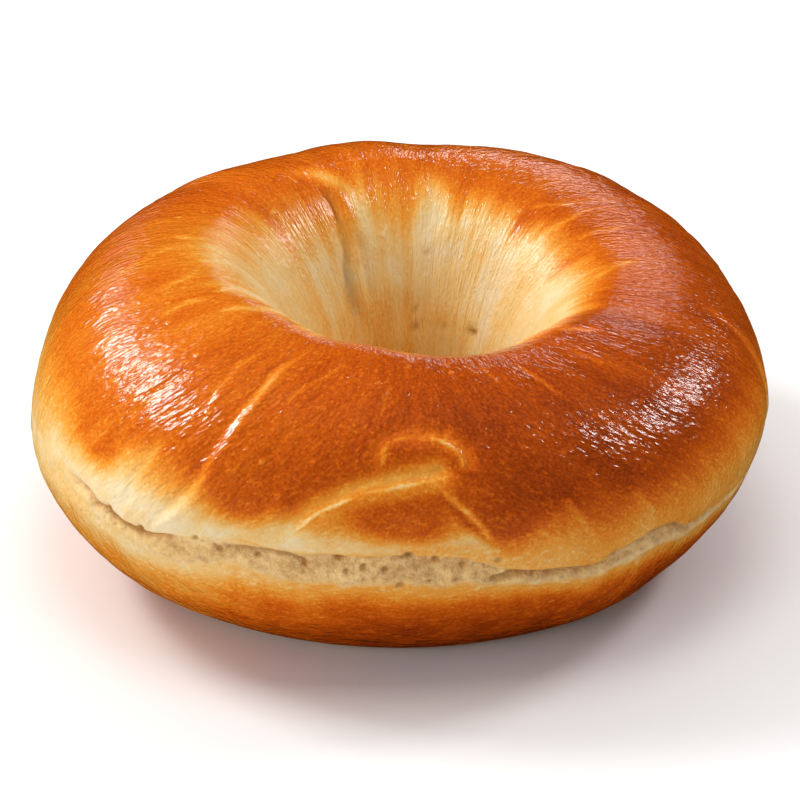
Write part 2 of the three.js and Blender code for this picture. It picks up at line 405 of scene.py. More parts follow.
# %% [markdown]
# ## Pores
# Gas cells that the tear cut through show as small pits in the crumb, most of them under
# a millimetre across, and they get painted shade. A few lie on the wall of the hole, where the
# skin stayed thin. The ones that stand out are placed one by one, and small ones are scattered
# among them.

# %% Pits in the crumb and on the wall of the hole
PORE_SIZE = 0.76
PORE_DEPTH = 0.7
PORE_WALLS = 4
SMALL_PORES = 150
SMALL_PORE_HALF = (0.18, 0.36)
DEGREE_ON_WAIST = 0.42
PORES = [
    # bearing, climb, half width and depth in mm
    (225.5, 5.5, 0.6, 0.7), (231.5, 2.5, 0.75, 1.1), (240.5, 4.3, 0.55, 0.6), (244, 1, 0.6, 0.7),
    (249.5, 0, 0.6, 0.7), (261, -1, 0.6, 0.7), (262, -6, 0.5, 0.5), (264.5, -5, 0.6, 0.6),
    (267.5, -6.5, 0.6, 0.6), (271, -0.6, 1.0, 1.0), (275, -4.5, 0.6, 0.7), (279, -8, 0.65, 0.7),
    (274, -12.5, 0.5, 0.5), (278, -13, 0.5, 0.5), (269.7, -13.6, 0.7, 0.5), (284.2, -6, 0.6, 0.5),
    (297, -19, 0.5, 0.5), (256, -3.5, 0.5, 0.5), (290, -15, 0.6, 0.6), (306, -11, 0.7, 0.7),
    (51, 155, 0.95, 0.9), (87, 159, 0.7, 0.6), (87, 153.5, 0.6, 0.55), (81, 150, 0.6, 0.55),
    (81, 134, 0.55, 0.4), (66, 156, 0.5, 0.4), (70, 157, 0.5, 0.4), (96, 148, 0.45, 0.35),
    (240, 150, 0.7, 0.6), (282, 158, 0.6, 0.5), (318, 149, 0.6, 0.5), (187, 156, 0.55, 0.45),
]
dice = np.random.default_rng(21)
for _ in range(SMALL_PORES):
    pore_bearing = dice.uniform(0, 360)
    local_height = float(through(BAND_HEIGHT, np.array([pore_bearing]), 360)[0])
    if local_height < CRUMB_LEAST_HEIGHT:
        continue
    local_lip = float(through(LIP, np.array([pore_bearing]), 360)[0])
    pore_climb = local_lip - dice.uniform(0.06, 0.72) * local_height / DEGREE_ON_WAIST
    half = dice.uniform(*SMALL_PORE_HALF)
    PORES.append((pore_bearing, pore_climb, half, half * dice.uniform(0.7, 1.1)))

pit_shade = np.zeros(total)
for pore_bearing, pore_climb, half, depth in PORES:
    half = half * PORE_SIZE
    near = np.flatnonzero((np.abs(gap(bearing, pore_bearing)) < 9) & (np.abs(climb - pore_climb) < 6))
    x = gap(bearing[near], pore_bearing) * ring_scale[near] / (1.15 * half)
    y = (climb[near] - pore_climb) * section_scale[near] / half
    distance = np.hypot(x, y) + 0.25 * edge_noise[near]
    hollow = np.exp(-np.abs(distance) ** PORE_WALLS)
    relief[near] -= PORE_DEPTH * depth * hollow
    # Each pore also gets painted shade, fuller for deeper ones.
    pit_shade[near] = np.maximum(pit_shade[near], hollow * min(1.0, depth / 0.55))
print("pores", len(PORES))

# %% [markdown]
# ## Folds, creases and the tuck
# Where the ends of the rope were pressed together, and where the skin was pulled while it was
# shaped, it kept creases. Each is a smooth path of places. Its relief is a groove with one side
# that stands a little proud, and the groove stays paler than the crust beside it. The sheltered
# wall of a fold bakes less too.

# %% Distance to a path
PATH_STEPS = 6
LEAST_DEGREE = 0.35


def near_path(places, reach):
    """Which points lie near a smooth path, how far right of it they are in mm, and how far
    along it, from 0 to 1."""
    places = np.array(places, float)
    count = len(places)
    at = np.linspace(0, count - 1, (count - 1) * PATH_STEPS + 1)
    path_bearing = through(list(zip(range(count), places[:, 0])), at)
    path_climb = through(list(zip(range(count), places[:, 1])), at)
    centre = path_bearing.mean()
    half_span = np.abs(path_bearing - centre).max()
    margin = reach / LEAST_DEGREE
    close = np.abs(gap(bearing, centre)) * ring_scale < half_span * ring_scale + reach
    close &= (climb > path_climb.min() - margin) & (climb < path_climb.max() + margin)
    index = np.flatnonzero(close)
    best = np.full(len(index), 1e9)
    side = np.zeros(len(index))
    progress = np.zeros(len(index))
    for k in range(len(at) - 1):
        px = gap(bearing[index], path_bearing[k]) * ring_scale[index]
        py = (climb[index] - path_climb[k]) * section_scale[index]
        sx = (path_bearing[k + 1] - path_bearing[k]) * ring_scale[index]
        sy = (path_climb[k + 1] - path_climb[k]) * section_scale[index]
        t = np.clip((px * sx + py * sy) / (sx * sx + sy * sy), 0, 1)
        distance = np.hypot(px - t * sx, py - t * sy)
        closer = distance < best
        best = np.where(closer, distance, best)
        side = np.where(closer, np.sign(px * sy - py * sx), side)
        progress = np.where(closer, (k + t) / (len(at) - 1), progress)
    return index, best * side, progress


def ending(progress, start, end):
    """1 along a path, fading over a share of it at its start and at its end."""
    return smooth(progress / start) * smooth((1 - progress) / end)


print("steps from place to place", PATH_STEPS)

# %% [markdown]
# Most creases lie where the photograph shows one, and a few at the back go on in the same manner.
# The deepest is the fold on the wall of the hole. Cracks are narrow, have no proud side and get painted
# shade.

# %% The paths of creases and cracks
HOLE_FOLD = [
    (121, 100), (117.5, 112.5), (117.5, 122.5), (118, 130.5), (122, 140.5), (122.5, 149), (120, 158),
]
FOLD_BESIDE = [(111.5, 135), (111.5, 141.5), (111.5, 152)]
FINE = (0.2, 0.45, 0.15)
CREASES = [
    # path; groove depth and half width; how far the right side is proud; paleness, its half
    # width and how far right of the path it lies
    ([(232.5, 3), (236, 12), (238.5, 20), (239.7, 27), (240, 33), (241.5, 43), (243, 60), (244, 75),
      (247, 88)],
     0.5, 0.8, 0.6, 0.55, 0.85, 0.4),
    ([(228, 6), (229, 12), (229.5, 20), (231, 28), (232, 37)], 0.4, 0.7, 0.3, 0.5, 0.8, 0.2),
    ([(235.5, 46), (236, 58), (236.5, 68), (238, 78)], 0.25, 0.6, 0.2, 0.3, 0.6, 0.2),
    ([(224, 24), (224.5, 34), (226, 46), (229, 60)], 0.25, 0.8, -0.15, 0.2, 0.8, 0),
    ([(274.5, 29), (276, 25.5), (277.5, 21), (280, 14), (282, 6), (284, -1)],
     0.3, 0.3, -0.35, 0.5, 0.5, -0.5),
    ([(294, 20), (295.5, 11), (297, 4), (299, -6)], 0.22, 0.4, -0.25, 0.4, 0.5, 0),
    ([(306, 16), (306.5, 9), (307, 3), (308, -4)], 0.15, 0.7, 0.15, 0.15, 0.7, 0),
    ([(256, 84), (254, 75), (250, 65), (248, 56)], 0.12, 0.4, 0.08, 0.3, 0.3, 0),
    ([(267, 74), (266.3, 66), (265.5, 55)], 0.1, 0.35, 0.06, 0.3, 0.28, 0),
    ([(287, 87), (288.5, 81), (290, 74)], 0.14, 0.4, 0.08, 0.4, 0.3, 0),
    ([(296, 87), (297.5, 79), (299, 71), (300.5, 61)], 0.16, 0.4, 0.1, 0.45, 0.32, 0),
    ([(311, 84), (312.5, 77), (314, 69)], 0.14, 0.4, 0.08, 0.35, 0.3, 0),
    ([(318, 72), (319, 64), (320, 57), (321, 47)], 0.12, 0.4, 0.08, 0.25, 0.3, 0),
    ([(317, 100), (320, 92), (325, 84)], 0.2, 0.7, 0.1, 0.55, 0.8, 0),
    ([(2, 107), (6, 98), (9, 89), (11, 81)], 0.2, 0.7, 0.1, 0.6, 0.8, 0),
    ([(28, 102), (28, 90), (28, 74)], *FINE, 0.5, 0.42, 0),
    ([(36, 107), (36.5, 95), (38, 80)], *FINE, 0.55, 0.42, 0),
    ([(50, 102), (46, 94), (41, 84)], *FINE, 0.5, 0.42, 0),
    ([(82, 132), (80.5, 116), (82, 98)], 0.4, 1, 0.2, 0.5, 1, 0),
    ([(76, 127), (77, 117), (78, 106)], 0.25, 0.8, 0.1, 0.45, 0.8, 0),
    ([(176, 100), (178, 92), (175, 83)], *FINE, 0.55, 0.42, 0),
    ([(192, 105), (193, 99), (194, 91)], *FINE, 0.55, 0.42, 0),
    ([(208, 102), (210, 97), (212, 90)], *FINE, 0.55, 0.42, 0),
    ([(184, 88), (186, 80), (190, 72), (191, 62)], *FINE, 0.45, 0.42, 0),
    ([(199, 92), (202, 84), (204, 74)], *FINE, 0.5, 0.4, 0),
    ([(214, 88), (212, 78), (213, 68)], 0.2, 0.4, 0.15, 0.45, 0.4, 0),
    ([(225, 97), (222.5, 91), (220, 83)], *FINE, 0.5, 0.42, 0),
    ([(122.5, 78), *HOLE_FOLD], 0.8, 0.7, -1.1, 0, 1, 0),
    ([(114.5, 124), *FOLD_BESIDE], 0.45, 0.9, 0.2, 0.4, 1, 0),
    ([(126, 88), (120, 96), (113, 106), (109.5, 115), (109, 125), (110, 134)],
     0.15, 1.4, 0.1, 0.85, 1.5, 0),
    ([(46, 2), (52, 30), (63, 72)], 0.35, 1, -0.25, 0.4, 0.9, 0),
    ([(150, 6), (145, 30), (139, 58)], 0.35, 1, 0.2, 0.4, 0.9, 0.3),
    ([(342, -6), (348, 30), (352, 64)], 0.25, 1, 0.2, 0.35, 0.9, 0.2),
    ([(86, 8), (82, 20), (80, 36)], 0.25, 0.8, 0.2, 0.4, 0.9, 0),
    ([(18, 0), (22, 12), (23, 26)], 0.25, 0.8, 0.2, 0.35, 0.9, 0),
]
CRACKS = [
    # path; depth and half width in mm
    ([(243, 2.8), (247, 2.4), (250, 2.5), (252, 2), (254, 1), (255.5, -1.5), (257, -3.5)], 0.7, 0.3),
    ([(281.5, -15), (284, -15.5), (287, -14.5), (290, -14.5), (293, -16), (297, -17), (301, -17)],
     0.9, 0.4),
    ([(299, -17), (302, -13), (305, -12), (307.5, -10), (309.5, -9.5), (313, -11), (315, -14), (317, -20)],
     0.6, 0.4),
    ([(224, 3.5), (227, 1.5), (230, 0.5), (233, 1), (236, 2)], 0.5, 0.35),
    (HOLE_FOLD, 0.3, 0.4),
    ([(112, 124), *FOLD_BESIDE], 0.2, 0.35),
]
print("creases", len(CREASES), "cracks", len(CRACKS))

# %% [markdown]
# Each path is followed in turn. A crease fades at both ends and is a little uneven on its way.

# %% Relief and paleness along the paths
CRACK_REACH = 3
CRACK_FADE = 0.2
# How dark the painted shade in cracks gets, and the depth at which it is full.
CRACK_SHADE = 0.8
CRACK_SHADE_DEPTH = 0.5
crevice_shade = np.zeros(total)
for places, depth, half in CRACKS:
    index, right, progress = near_path(places, CRACK_REACH)
    torn = ending(progress, CRACK_FADE, CRACK_FADE) * bell((right + 0.3 * edge_noise[index]) / half)
    relief[index] -= depth * torn
    # Painted shade along each crack, fuller for deeper ones.
    crevice_shade[index] = np.maximum(crevice_shade[index], CRACK_SHADE * min(1.0, depth / CRACK_SHADE_DEPTH) * torn)

CREASE_REACH = 16
PROUD_REACH = 4.5
LIP_ZONE = 10
START_AT_LIP = 0.1
START_HIGHER = 0.25
CREASE_END = 0.22
pale = np.zeros(total)
for places, depth, half, proud, paleness, pale_half, pale_right in CREASES:
    index, right, progress = near_path(places, CREASE_REACH)
    ends = ending(progress, START_AT_LIP if places[0][1] < LIP_ZONE else START_HIGHER, CREASE_END)
    uneven = 0.8 + 0.45 * streaks(3, 9, 31)[index]
    groove = depth * bell(right / half) * uneven
    raised = abs(proud) * smooth(0.5 + np.sign(proud) * right / (2.2 * half))
    raised *= np.exp(-np.abs(right) / PROUD_REACH)
    relief[index] += ends * (raised - groove)
    shade = paleness * ends * uneven * bell((right - pale_right) / pale_half)
    pale[index] = np.maximum(pale[index], shade)
print("palest crease", round(float(pale.max()), 2))

# %% [markdown]
# ## The tuck in the front
# Low on the front one flap of dough was tucked over another. Its upper edge climbs to the
# right as a thin pale rim with a pale valley behind it, and above its end sits a small tongue
# of dough with a rim of its own. The flap itself is browned in its middle and golden around.

# %% The tuck's relief
TUCK_EDGE = [
    # bearing, climb
    (249.5, 4), (252.5, 8), (254.5, 11), (256, 15), (258, 20), (260, 22.5), (264, 26.5), (268, 29.5),
    (270.5, 31), (274, 32), (277, 33.8), (279, 36.5),
]
TUCK_REACH = 14
FLAP_RISE = 0.4
FLAP_STEP = 2.8
FLAP_SINKS_OVER = 5
RIM_RISE = 0.06
VALLEY_DEPTH = 0.42
VALLEY_HALF = 1.5
VALLEY_PALE = 0.72
HALO_PALE = 0.52

index, below, progress = near_path(TUCK_EDGE, TUCK_REACH)
below += 0.35 * streaks(2.2, 5, 41)[index]
ends = ending(progress, 0.3, 0.16)
flap_rim = RIM_RISE * bell((below - 0.25) / 0.4)
flap = FLAP_RISE * smooth(0.5 + below / FLAP_STEP) * np.exp(-np.maximum(below, 0) / FLAP_SINKS_OVER)
valley = VALLEY_DEPTH * bell((below + VALLEY_HALF) / VALLEY_HALF)
wrinkled = np.clip(0.85 + 0.6 * streaks(1.2, 2.4, 42)[index], 0.3, 1.2)
relief[index] += ends * (flap + flap_rim * wrinkled - valley)
rim_pale = bell((below - 0.1) / 0.5) * wrinkled
valley_pale = VALLEY_PALE * bell((below + 1.0) / 1.7)
halo_pale = HALO_PALE * bell((below - 0.8) / 1.5)
for paleness in (rim_pale, valley_pale, halo_pale):
    pale[index] = np.maximum(pale[index], ends * paleness)
print("the tuck touches", len(index), "points")

# %% [markdown]
# The flap baked brown only in its middle. So its pale part grows with the distance from a
# centre, and stops at the tuck above, at the crease on the right and at the lip below.

# %% The flap's pale surround
FLAP_CENTRE = (270.5, 17.0)
FLAP_BROWN_HALF = (8.5, 4.6)
FLAP_LEFT = 250
FLAP_RIGHT = 284
CREASE_LEAN = 9.5 / 30

aside = gap(bearing, FLAP_CENTRE[0]) * ring_scale / FLAP_BROWN_HALF[0]
upwards = (climb - FLAP_CENTRE[1]) * section_scale / FLAP_BROWN_HALF[1]
flap_right = FLAP_RIGHT - (climb + 1) * CREASE_LEAN
flap_top = through(TUCK_EDGE, np.clip(bearing, TUCK_EDGE[0][0], TUCK_EDGE[-2][0]))
flap_zone = smooth((bearing - FLAP_LEFT) / 4) * smooth((flap_right - bearing) / 2.5) * smooth(climb / 4)
flap_zone *= smooth((flap_top + 1 - climb) / 4)
pale = np.maximum(pale, flap_zone * (0.1 + 0.56 * smooth((np.hypot(aside, upwards) - 0.5) / 0.8)))
print("the flap has", int((flap_zone > 0.5).sum()), "points")

# %% [markdown]
# The tongue is a loop. Its rim is strong on the right, faint over the top and on the left, and
# the dough inside it stands a little higher.

# %% The tongue
TONGUE_RIM = [
    # bearing, climb
    (279, 34), (279.3, 39), (278.2, 44), (275.5, 48), (271, 49.5), (267.5, 46.5), (266.8, 40), (266.5, 33),
]
TONGUE_REACH = 9
TONGUE_RIM_RISE = 0.14
TONGUE_MOAT = 0.3
TONGUE_RISE = 0.3
TONGUE_HALO = 0.4

index, outward, progress = near_path(TONGUE_RIM, TONGUE_REACH)
inward = -outward
ends = ending(progress, 0.12, 0.2)
rim_strength = 0.45 + 0.55 * smooth((0.6 - progress) / 0.25) + 0.2 * smooth((progress - 0.75) / 0.15)
rim = TONGUE_RIM_RISE * bell(inward / 0.4) - TONGUE_MOAT * bell((inward + 1.2) / 0.8)
relief[index] += ends * rim_strength * rim
relief[index] += TONGUE_RISE * ends * smooth(inward / 2.0) * smooth((6.0 - inward) / 3.0)
uneven = np.clip(0.9 + 0.6 * streaks(1.2, 2.4, 43)[index], 0.3, 1.2)
rim_pale = uneven * bell((inward + 0.1) / 0.42)
halo_pale = TONGUE_HALO * bell((inward + 0.6) / 1.4)
for paleness in (rim_pale, halo_pale):
    pale[index] = np.maximum(pale[index], ends * rim_strength * paleness)
print("the tongue touches", len(index), "points")

# %% [markdown]
# Dough rolled by hand swells and sinks slowly all round, on the open side only.

# %% Slow swellings
SWELLINGS = [
    # turns round the ring and across the section, size in mm, phase
    (5, 1, 0.28, 40), (8, 2, 0.18, 160), (11, 1, 0.12, 290),
]
open_air = 1 - smooth((climb - 105) / 40)
for turns_around, turns_across, size, phase in SWELLINGS:
    relief += open_air * size * np.cos(np.radians(turns_around * bearing + turns_across * climb + phase))
print("relief up to", round(float(relief.max()), 2), "mm")

# %% [markdown]
# ## The grain of the crust
# The boiled skin dries, shrinks and wrinkles. Long low ridges run with the grain, closer and
# sharper towards the hole, and everything is a little lumpy. The finest wrinkles are left to
# the material.

# %% Ridges along the grain
LONG_RIDGES = [(0.17, 5.5, 46, 51), (0.12, 2.8, 26, 52), (0.06, 1.5, 14, 53)]
LOW_LUMPS = [(0.12, 7, 55), (0.07, 3, 56)]

ridge_zone = smooth((climb - 8) / 25) * smooth((175 - climb) / 40)
calmer = 1 - 0.4 * smooth((climb - 90) / 40)
hole_ridges = smooth((climb - 80) / 30) * 0.12 * streaks(4.4, 60, 54)
relief += ridge_zone * (streaky(LONG_RIDGES) * calmer + hole_ridges)
low_zone = smooth((-above_lip - band_height) / 3) * outer_half
relief += low_zone * (lumpy(LOW_LUMPS) + 0.06 * streaks(2.6, 18, 57))
relief += 0.14 * lumps(11, 58) + 0.05 * lumps(2.2, 59) * (1 - crumb)
print("relief with ridges up to", round(float(relief.max()), 2), "mm")

# %% [markdown]
# The relief moves every place outwards, and the overhang slides the lip down. Near the base it
# fades out, so that the bagel still rests flat. Everything is sunk a little, which keeps the
# skin inside the solid that it replaces, and then it is centred as that solid is.

# %% The skin's final points
RELIEF_START = 0.4
RELIEF_FULL = 5.0
INSET = 0.22
BASE_HOLLOWS = 0.18
clear = smooth((plain_points[:, 2] - RELIEF_START) / (RELIEF_FULL - RELIEF_START))
points = plain_points + out * ((relief - INSET) * clear)[:, None] + upward * (slide * clear)[:, None]
points[on_base, 2] = BASE_HOLLOWS * smooth(0.5 + 0.9 * lumps(5, 61)[on_base])
points[:, 2] = np.maximum(points[:, 2], 0)
middle = (points.min(axis=0) + points.max(axis=0)) / 2
points[:, 0] -= middle[0]
points[:, 1] -= middle[1]
print("skin", (points.max(axis=0) - points.min(axis=0)).round(2), "mm, middle", middle.round(2))

# %% [markdown]
# ## Browning
# How far each place has baked is one number, from 0 for cream crumb to 1 for nearly black.
# The crown caught the heat, the waist and the hole were sheltered. The limits are read off the
# photograph as lines round the ring, and noise along the grain feathers them into streaks. Low
# in the hole and towards the base the number also carries painted shade.

# %% The limits of the browning
OUTER_LIMITS = [
    # bearing, the climb up to which the skin above the waist is pale, and from which it is brown
    (195, 11, 38), (205, 13, 36), (213, 13, 32), (219, 11, 21), (224, 11, 21), (227, 13, 30), (232, 9, 30),
    (238, 9, 28), (243, 8, 22), (248, 8, 16), (252, 11, 22), (256, 7, 15), (260, 3, 12), (266, 2, 11),
    (272, -2, 7), (277, -2, 7), (281, 0, 8), (285, -8, 5), (288, -8, 6), (291, -8, 13), (296, -10, 19),
    (299, -11, 19), (302, -12, 17), (304, -12, 17), (306, -10, 19), (310, -10, 19), (315, -10, 22),
    (320, -10, 28), (330, -8, 32), (345, -6, 29), (360, -4, 24), (390, 0, 22), (420, 3, 24), (450, 4, 24),
    (480, 5, 26), (510, 9, 30), (540, 12, 36),
]
TOP_BAKE = [
    # bearing, and how dark the crown is
    (180, 0.52), (205, 0.53), (225, 0.54), (250, 0.65), (275, 0.72), (300, 0.76), (325, 0.75),
    (350, 0.66), (380, 0.6), (420, 0.58), (455, 0.56), (490, 0.6), (515, 0.58),
]
PALEST = [
    # bearing, and how far the palest skin has baked
    (180, 0.16), (200, 0.18), (208, 0.12), (216, 0.05), (235, 0.04), (250, 0.13), (262, 0.24),
    (275, 0.25), (290, 0.26), (305, 0.27), (320, 0.29), (340, 0.26), (380, 0.14), (430, 0.08),
    (480, 0.1), (510, 0.12),
]
INNER_LIMITS = [
    # bearing, the climb up to which the brown goes into the hole, and from which it is cream
    (0, 95, 116), (20, 97, 118), (35, 98, 114), (55, 101, 114), (68, 102, 118), (78, 98, 118),
    (95, 101, 130), (108, 100, 128), (120, 99, 132), (135, 98, 130), (150, 94, 122), (165, 93, 122),
    (185, 92, 118), (205, 92, 112), (230, 94, 110), (260, 97, 115), (290, 98, 117), (320, 98, 116),
    (345, 97, 114),
]
LOW_GOLD_WIDTH = [
    # bearing, and how wide the gold under the waist is, in mm
    (205, 9), (225, 8), (245, 6.2), (262, 4), (290, 3.4), (315, 3.8), (345, 5), (400, 4), (460, 5),
    (520, 6),
]
LOW_BAKE = [
    # bearing, and how dark the low crust is
    (205, 0.32), (225, 0.34), (245, 0.44), (265, 0.6), (290, 0.64), (315, 0.58), (345, 0.56),
    (420, 0.6), (500, 0.52),
]
LOW_PALEST = [
    # bearing, and how far it has baked right under the waist
    (205, 0.1), (235, 0.11), (250, 0.18), (262, 0.26), (290, 0.28), (320, 0.25), (345, 0.2),
    (420, 0.14), (500, 0.1),
]
print("limits given at", len(OUTER_LIMITS), "bearings")

# %% [markdown]
# Above the waist the bake rises from pale to brown and falls again into the hole. Below the
# waist it is worked out apart, from the lower edge of the crumb down. Creases come out paler.

# %% The bake between the limits
GOLD_SHARE = 0.4


def browning(t):
    """From cream at 0 to brown at 1, slow about gold."""
    return GOLD_SHARE * smooth(t / 0.6) + (1 - GOLD_SHARE) * smooth((t - 0.38) / 0.8)


def limit(table, which):
    """The first or second limit of a table at every bearing."""
    return through([(row[0], row[which]) for row in table], bearing, 360)


FEATHER = [(0.65, 4.2, 40, 71), (0.5, 2.0, 24, 72), (0.3, 1.0, 14, 73)]
OUTER_FEATHER = 3.2
HOLE_FEATHER = 8.5
LOW_FEATHER = 1.1
HOLE_PALEST = 0.06
CREASE_PALER = 0.8
HOLE_STREAKS = [(0.5, 3.4, 70, 74), (0.35, 1.7, 40, 75), (0.2, 0.9, 20, 76)]

feather = streaky(FEATHER)
pale_up_to = limit(OUTER_LIMITS, 1)
brown_from = limit(OUTER_LIMITS, 2)
rise = (climb + OUTER_FEATHER * feather - pale_up_to) / np.maximum(brown_from - pale_up_to, 9)
outer_bake = browning(rise)
brown_to = limit(INNER_LIMITS, 1)
cream_from = limit(INNER_LIMITS, 2)
fall = (climb + HOLE_FEATHER * feather - brown_to) / np.maximum(cream_from - brown_to + 5, 10)
inner_bake = browning(1.1 - fall)
top_bake = through(TOP_BAKE, bearing, 360)
palest = np.where(outer_half, through(PALEST, bearing, 360), HOLE_PALEST)
bake_and_shade = palest + (top_bake - palest) * outer_bake * inner_bake
bake_and_shade += smooth((climb - 100) / 25) * np.clip(0.03 + 0.14 * streaky(HOLE_STREAKS), 0, 0.3)
# Painted shade low in the hole, most at the back, where little light reaches the bottom.
painted_shade_low_in_hole = 0.15 * smooth((climb - 138) / 20) * bell(gap(bearing, 105) / 45) * (climb < 270)
pale_left_rim = 0.16 * bell(gap(bearing, 185) / 24) * bell((climb - 98) / 12)
dark_right_shoulder = 0.12 * bell(gap(bearing, 12) / 48) * bell((climb - 55) / 16)
bake_and_shade += painted_shade_low_in_hole - pale_left_rim + dark_right_shoulder
below_band = -above_lip - band_height
gold_width = through(LOW_GOLD_WIDTH, bearing, 360)
low_top = through(LOW_BAKE, bearing, 360)
low_pale = through(LOW_PALEST, bearing, 360)
low_bake_and_shade = low_pale + (low_top - low_pale) * browning((below_band + LOW_FEATHER * feather) / gold_width)
# The low crust darkens towards the base: partly its own colour, partly painted shade.
low_bake_and_shade += 0.12 * smooth((-28 - climb) / 18)
bake_and_shade = np.where(outer_half & (above_lip < 0), low_bake_and_shade, bake_and_shade)
bake_and_shade = bake_and_shade * (1 - crumb) + 0.02 * crumb
bake_and_shade -= CREASE_PALER * bake_and_shade * np.clip(pale, 0, 1)
print("bake mean", round(float(bake_and_shade.mean()), 2))

# %% [markdown]
# An oven browns nothing evenly. Brown crust is mottled in lumps and streaks, the low crust in
# lumps alone, and pale skin has faint clouds. Cracks and pores get painted shade of their own,
# since they are dark through depth and not through baking.

# %% Mottling, painted shade in crevices, and the base
CRUST_MOTTLE_LUMPS = [(0.03, 9, 81), (0.02, 4, 82)]
CRUST_MOTTLE_STREAKS = [(0.045, 3.0, 18, 83), (0.035, 1.3, 8, 84)]
LOW_MOTTLE = [(0.07, 5, 88), (0.05, 2.4, 89)]
PALE_CLOUDS = [(0.05, 3.2, 86), (0.04, 1.3, 87)]
CRUST_FROM_BAKE = 0.35
BASE_UP_TO = 2.2
BASE_FADE = 2.0

crusted = smooth(bake_and_shade / CRUST_FROM_BAKE)
bake_and_shade += crusted * (lumpy(CRUST_MOTTLE_LUMPS) + streaky(CRUST_MOTTLE_STREAKS))
bake_and_shade += low_zone * lumpy(LOW_MOTTLE)
bake_and_shade += (1 - crusted) * (0.05 * streaks(2.4, 8, 85) + lumpy(PALE_CLOUDS))
bake_and_shade = np.clip(bake_and_shade, 0, 1)
# Painted shade in cracks, pores and the crack under the lip.
crevice_shade = np.clip(np.maximum(np.maximum(crevice_shade, pit_shade), CRACK_SHADE * undercut * opened), 0, 1)
base_bake = smooth((BASE_UP_TO - plain_points[:, 2]) / BASE_FADE)
print("bake with mottling", round(float(bake_and_shade.mean()), 2))

# %% [markdown]
# ## The mesh
# The points and faces become one object with smooth shading. What the material needs to know of
# a place goes along as attributes: how far it baked, with painted shade low in the hole and
# towards the base, where crumb and base are, how much painted shade the crevices get, and the
# coordinates along the grain.

# %% The mesh
MM = 0.001
mesh = bpy.data.meshes.new("bagel_crust")
mesh.from_pydata((points * MM).tolist(), [], faces)
mesh.polygons.foreach_set("use_smooth", np.ones(len(mesh.polygons), dtype=bool))
for name, values in {"bake_and_shade": bake_and_shade, "crumb": crumb, "crevice_shade": crevice_shade, "underside": base_bake}.items():
    layer = mesh.attributes.new(name, "FLOAT", "POINT")
    layer.data.foreach_set("value", values.astype(np.float32))
grain_layer = mesh.attributes.new("grain", "FLOAT_VECTOR", "POINT")
grain_layer.data.foreach_set("vector", grain.astype(np.float32).ravel())
mesh.update()
crust = bpy.data.objects.new("bagel_crust", mesh)
scene.collection.objects.link(crust)
print("mesh", len(mesh.vertices), "points", len(mesh.polygons), "faces")

# %% [markdown]
# ## The crust's material
# Crust and crumb are one material, because on bread one turns into the other. The nodes are
# written as Python: a small class wraps a socket, so that sums and products of values add their
# Math nodes, and one function makes every other node.

# %% Shader expressions
crust_material = bpy.data.materials.new("crust")
crust_material.use_nodes = True
tree = crust_material.node_tree
tree.nodes.clear()


class Value:
    """A socket that takes part in Python expressions."""

    def __init__(self, socket):
        self.socket = socket

    def __add__(self, other):
        return maths("ADD", self, other)

    def __sub__(self, other):
        return maths("SUBTRACT", self, other)

    def __rsub__(self, other):
        return maths("SUBTRACT", other, self)

    def __mul__(self, other):
        return maths("MULTIPLY", self, other)

    __radd__ = __add__
    __rmul__ = __mul__


def node(kind, settings, sockets, output=0):
    """One node: its settings first, then the values or links of its sockets."""
    made = tree.nodes.new(kind)
    for name, setting in settings.items():
        setattr(made, name, setting)
    for name, value in sockets.items():
        if isinstance(value, Value):
            tree.links.new(value.socket, made.inputs[name])
        else:
            made.inputs[name].default_value = value
    return Value(made.outputs[output]) if made.outputs else made


def maths(operation, a, b):
    return node("ShaderNodeMath", {"operation": operation}, {0: a, 1: b})


def attribute(name, output="Fac"):
    return node("ShaderNodeAttribute", {"attribute_name": name}, {}, output)


def step(value, low, high):
    """0 below low, 1 above high, easing in between."""
    settings = {"interpolation_type": "SMOOTHSTEP"}
    return node("ShaderNodeMapRange", settings, {"Value": value, "From Min": low, "From Max": high})


def mix_colours(share, a, b):
    return node("ShaderNodeMix", {"data_type": "RGBA"}, {0: share, 6: a, 7: b}, 2)


def spots(vector, scale, detail=2.0, rough=0.5):
    """Noise from 0 to 1."""
    sockets = {"Vector": vector, "Scale": scale, "Detail": detail, "Roughness": rough}
    return node("ShaderNodeTexNoise", {}, sockets)


def along_grain(squeeze):
    """The grain's coordinates, squeezed along it, which draws patterns out that way."""
    return node("ShaderNodeMapping", {}, {"Vector": grain_here, "Scale": (1.0, 1.0, squeeze)})


# The bake attribute also carries painted shade low in the hole and towards the base; the crevice attribute
# is painted shade in cracks and pores.
bake_and_shade_here = attribute("bake_and_shade")
crumb_here = attribute("crumb")
crevice_shade_here = attribute("crevice_shade")
under_here = attribute("underside")
grain_here = attribute("grain", "Vector")
place = node("ShaderNodeTexCoord", {}, {}, "Object")
print("shader helpers ready")

# %% [markdown]
# ## Colour
# The bake number, with its painted shade low in the hole and towards the base, picks a colour
# from cream over gold and orange to brown. Fine freckles, pale blisters and streaks along the
# grain shift it first, more on brown crust than on pale skin. Crevices get painted shade on top.
# The colours are judged against the photograph, with its light taken off.

